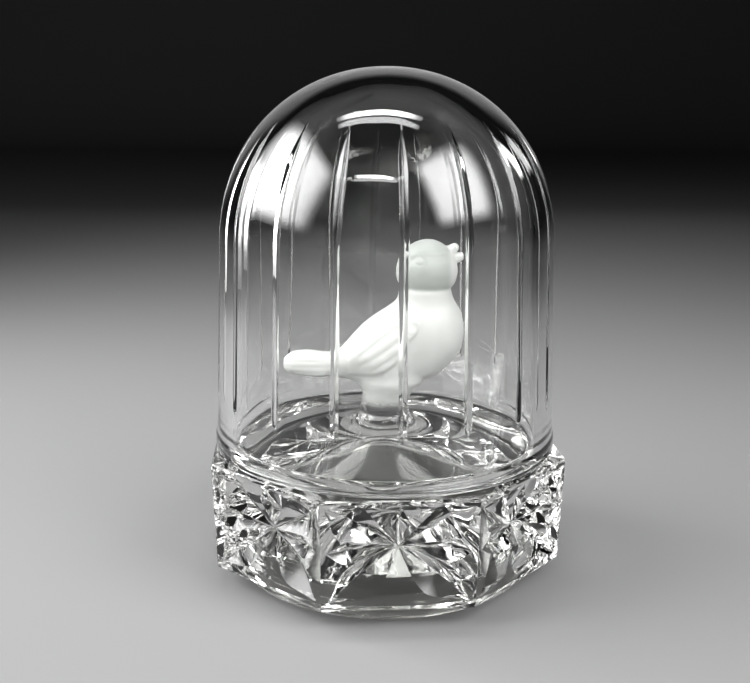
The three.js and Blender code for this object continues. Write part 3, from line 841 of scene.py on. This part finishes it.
def make_bird():
    h = 0.28
    x = np.arange(-29.5, 22.5, h)
    y = np.arange(-11.2, 11.2 + h, h)
    z = np.arange(BIRD_Z - 1.3, 86.0, h)
    X, Y, Z = np.meshgrid(x, y, z, indexing="ij")
    F = bird_field(X, Y, Z)
    v, q = surface_nets(F, (x[0], y[0], z[0]), h)
    # settle the points on the surface
    for _ in range(2):
        f0 = bird_field(v[:, 0], v[:, 1], v[:, 2])
        d = 0.05
        g = np.stack([
            bird_field(v[:, 0] + d, v[:, 1], v[:, 2]) - bird_field(v[:, 0] - d, v[:, 1], v[:, 2]),
            bird_field(v[:, 0], v[:, 1] + d, v[:, 2]) - bird_field(v[:, 0], v[:, 1] - d, v[:, 2]),
            bird_field(v[:, 0], v[:, 1], v[:, 2] + d) - bird_field(v[:, 0], v[:, 1], v[:, 2] - d)], -1) / (2 * d)
        g2 = (g ** 2).sum(1)
        step = np.clip(f0 / np.maximum(g2, 0.2), -h * 0.5, h * 0.5)
        v = v - g * step[:, None]
    v[:, 2] = np.maximum(v[:, 2], BIRD_Z)
    ob = mesh_from_arrays("bird_figure", v, q)
    face_out(ob)
    shade(ob, 40)
    ob.data.materials.append(MAT_BIRD)
    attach(ob, "base")
    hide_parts("bird_figurine")
    return ob


def make_bond():
    ob = turned("bond_film", [(0, NECK_Z + 0.01), (5.5, NECK_Z + 0.01)] + arc(5.62, NECK_Z + 0.15, 0.13, -80, 80, 7)
                + [(5.5, NECK_Z + 0.29), (0, NECK_Z + 0.29)], 96)
    shade(ob, 30)
    ob.data.materials.append(MAT_BOND)
    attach(ob, "base")
    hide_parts("adhesive_film")
    return ob


jar = make_jar()
base = make_base()
bird = make_bird()
bond = make_bond()


# --------------------------------------------------------------------------
# floor, lights, camera
# --------------------------------------------------------------------------
def make_floor():
    # a wide pale sheet with a cyclorama bend a long way back
    pts = [(-2.2, 0.0)]
    n = 24
    verts, faces = [], []
    half = 3.0
    prof = [(-3.0, 0.0), (2.0, 0.0)]
    for a in np.linspace(0, 90, 13)[1:]:
        prof.append((2.0 + 0.8 * math.sin(math.radians(a)), 0.8 - 0.8 * math.cos(math.radians(a))))
    prof.append((2.8, 3.0))
    for y, z in prof:
        verts += [(-half, y, z), (half, y, z)]
    for i in range(len(prof) - 1):
        a = 2 * i
        faces.append((a, a + 1, a + 3, a + 2))
    ob = mesh_object("studio_floor", verts, faces)
    shade(ob)
    mat = bpy.data.materials.new("floor")
    mat.use_nodes = True
    nt = mat.node_tree
    p = nt.nodes["Principled BSDF"]
    tc = node(nt, "ShaderNodeTexCoord", -900, 0)
    n1 = node(nt, "ShaderNodeTexNoise", -650, 0, Scale=3.0, Detail=4.0)
    nt.links.new(tc.outputs["Object"], n1.inputs["Vector"])
    ramp = node(nt, "ShaderNodeValToRGB", -400, 0)
    ramp.color_ramp.elements[0].color = (0.215, 0.215, 0.218, 1)
    ramp.color_ramp.elements[1].color = (0.235, 0.235, 0.235, 1)
    nt.links.new(n1.outputs["Fac"], ramp.inputs["Fac"])
    nt.links.new(ramp.outputs["Color"], p.inputs["Base Color"])
    p.inputs["Roughness"].default_value = 0.75
    p.inputs["Specular IOR Level"].default_value = 0.25
    ob.data.materials.append(mat)
    return ob


make_floor()

TURN = math.radians(4.97)  # the object stands turned by this much


def area(name, loc, target, size, size_y, radiance, spread=120, turn=0.0, soft=0.2):
    """a soft panel at loc that faces target; its brightness is given per area, so
    that a bigger panel isn't a darker one"""
    li = bpy.data.lights.new(name, "AREA")
    li.shape = "RECTANGLE"
    li.size, li.size_y = size, size_y
    # a lamp with a narrow spread throws its power into a smaller cone
    share = math.sin(math.radians(spread) / 2) ** 2
    li.energy = radiance * math.pi * size * size_y * share
    li.spread = math.radians(spread)
    # diffuser: bright in the middle, soft at its edges
    li.use_nodes = True
    nt = li.node_tree
    em = next(n for n in nt.nodes if n.type == "EMISSION")
    geo = nt.nodes.new("ShaderNodeNewGeometry")
    sep = nt.nodes.new("ShaderNodeSeparateXYZ")
    nt.links.new(geo.outputs["Parametric"], sep.inputs[0])
    ends = []
    for axis in ("X", "Y"):
        fold = nt.nodes.new("ShaderNodeMath")
        fold.operation = "PINGPONG"
        fold.inputs[1].default_value = 0.5
        nt.links.new(sep.outputs[axis], fold.inputs[0])
        ease_in = nt.nodes.new("ShaderNodeMapRange")
        ease_in.interpolation_type = "SMOOTHSTEP"
        ease_in.inputs["From Max"].default_value = soft
        ease_in.inputs["To Min"].default_value = 0.12
        ease_in.inputs["To Max"].default_value = 1.25
        nt.links.new(fold.outputs[0], ease_in.inputs["Value"])
        ends.append(ease_in.outputs["Result"])
    mul = nt.nodes.new("ShaderNodeMath")
    mul.operation = "MULTIPLY"
    nt.links.new(ends[0], mul.inputs[0])
    nt.links.new(ends[1], mul.inputs[1])
    nt.links.new(mul.outputs[0], em.inputs["Strength"])
    ob = bpy.data.objects.new(name, li)
    look = (Vector(target) - Vector(loc)).to_track_quat("-Z", "Y")
    ob.rotation_euler = (look.to_matrix() @ Matrix.Rotation(turn, 3, "Z")).to_euler()
    ob.location = loc
    ob.visible_camera = False
    scene.collection.objects.link(ob)
    return ob


def panel(name, azimuth, elevation, distance, size, size_y, radiance, spread=120, aim=0.070):
    """a soft panel placed by its direction from the object"""
    az, el = math.radians(azimuth), math.radians(elevation)
    loc = (distance * math.cos(el) * math.cos(az), distance * math.cos(el) * math.sin(az),
           aim + distance * math.sin(el))
    return area(name, loc, (0, 0, aim), size, size_y, radiance, spread)


# two soft panels, left and right of the camera, thin strips overhead and in front,
# and low side panels that draw the long streaks on the jar's walls; all fall off
# before they reach the backdrop
panel("panel_left", 180, 31, 0.48, 0.62, 0.40, 3.8)
panel("panel_right", -40, 36, 0.50, 0.40, 0.42, 3.6)
area("strip_top", (-0.033, 0.02, 0.56), (-0.033, 0.02, 0.0), 0.35, 0.048, 17.0, turn=-TURN * 2.1, soft=0.3)
panel("strip_front", -105, 45, 0.52, 0.22, 0.020, 18.0)
panel("spark", -84, 21, 0.60, 0.035, 0.035, 45.0)
area("streak_left", (-0.40, 0.21, 0.155), (0, 0, 0.10), 0.10, 0.30, 4.0)
panel("edge_right", 34, 24, 0.46, 0.07, 0.12, 1.6)
# a low fill from the front that only reaches matt surfaces, and a faint wide glow
# behind that only the glass reflects
fill = panel("fill_front", -98, -2, 0.62, 0.50, 0.08, 13.5)
fill.visible_glossy = fill.visible_transmission = False
glow = panel("glow_back", 88, 22, 0.85, 1.30, 0.70, 0.22)
glow.visible_diffuse = glow.visible_transmission = False

world = bpy.data.worlds.new("studio")
world.use_nodes = True
world.node_tree.nodes["Background"].inputs["Color"].default_value = (0.92, 0.95, 1.0, 1)
world.node_tree.nodes["Background"].inputs["Strength"].default_value = 0.011
scene.world = world

# camera: pinhole solved from the object's outlines
F_PX, DIST, CAM_Z = 1037.6, 0.255468, 0.117982
YAW, PITCH, ROLL = -0.010307, 0.233995, 0.0082
cam = bpy.data.cameras.new("camera")
cam.sensor_fit = "HORIZONTAL"
cam.sensor_width = 36.0
cam.lens = F_PX / 750 * 36.0
cam.clip_start = 0.01
cam_ob = bpy.data.objects.new("camera", cam)
fwd = Vector((math.sin(YAW) * math.cos(PITCH), math.cos(YAW) * math.cos(PITCH), -math.sin(PITCH)))
right = Vector((math.cos(YAW), -math.sin(YAW), 0))
up = right.cross(fwd)
cr, sr = math.cos(ROLL), math.sin(ROLL)
cam_x = right * cr + up * sr
cam_y = up * cr - right * sr
rot = Matrix((cam_x, cam_y, -fwd)).transposed().to_4x4()
place = Matrix.Rotation(-TURN, 4, "Z") @ Matrix.Translation((0, -DIST, CAM_Z)) @ rot
cam_ob.matrix_world = place
scene.collection.objects.link(cam_ob)
scene.camera = cam_ob

scene.cycles.max_bounces = 32
scene.cycles.transmission_bounces = 28
scene.cycles.transparent_max_bounces = 32
scene.cycles.glossy_bounces = 12
scene.cycles.diffuse_bounces = 4
scene.cycles.caustics_refractive = False
scene.cycles.caustics_reflective = False
scene.view_settings.view_transform = "Standard"
scene.view_settings.look = "None"
scene.view_settings.exposure = 0.0
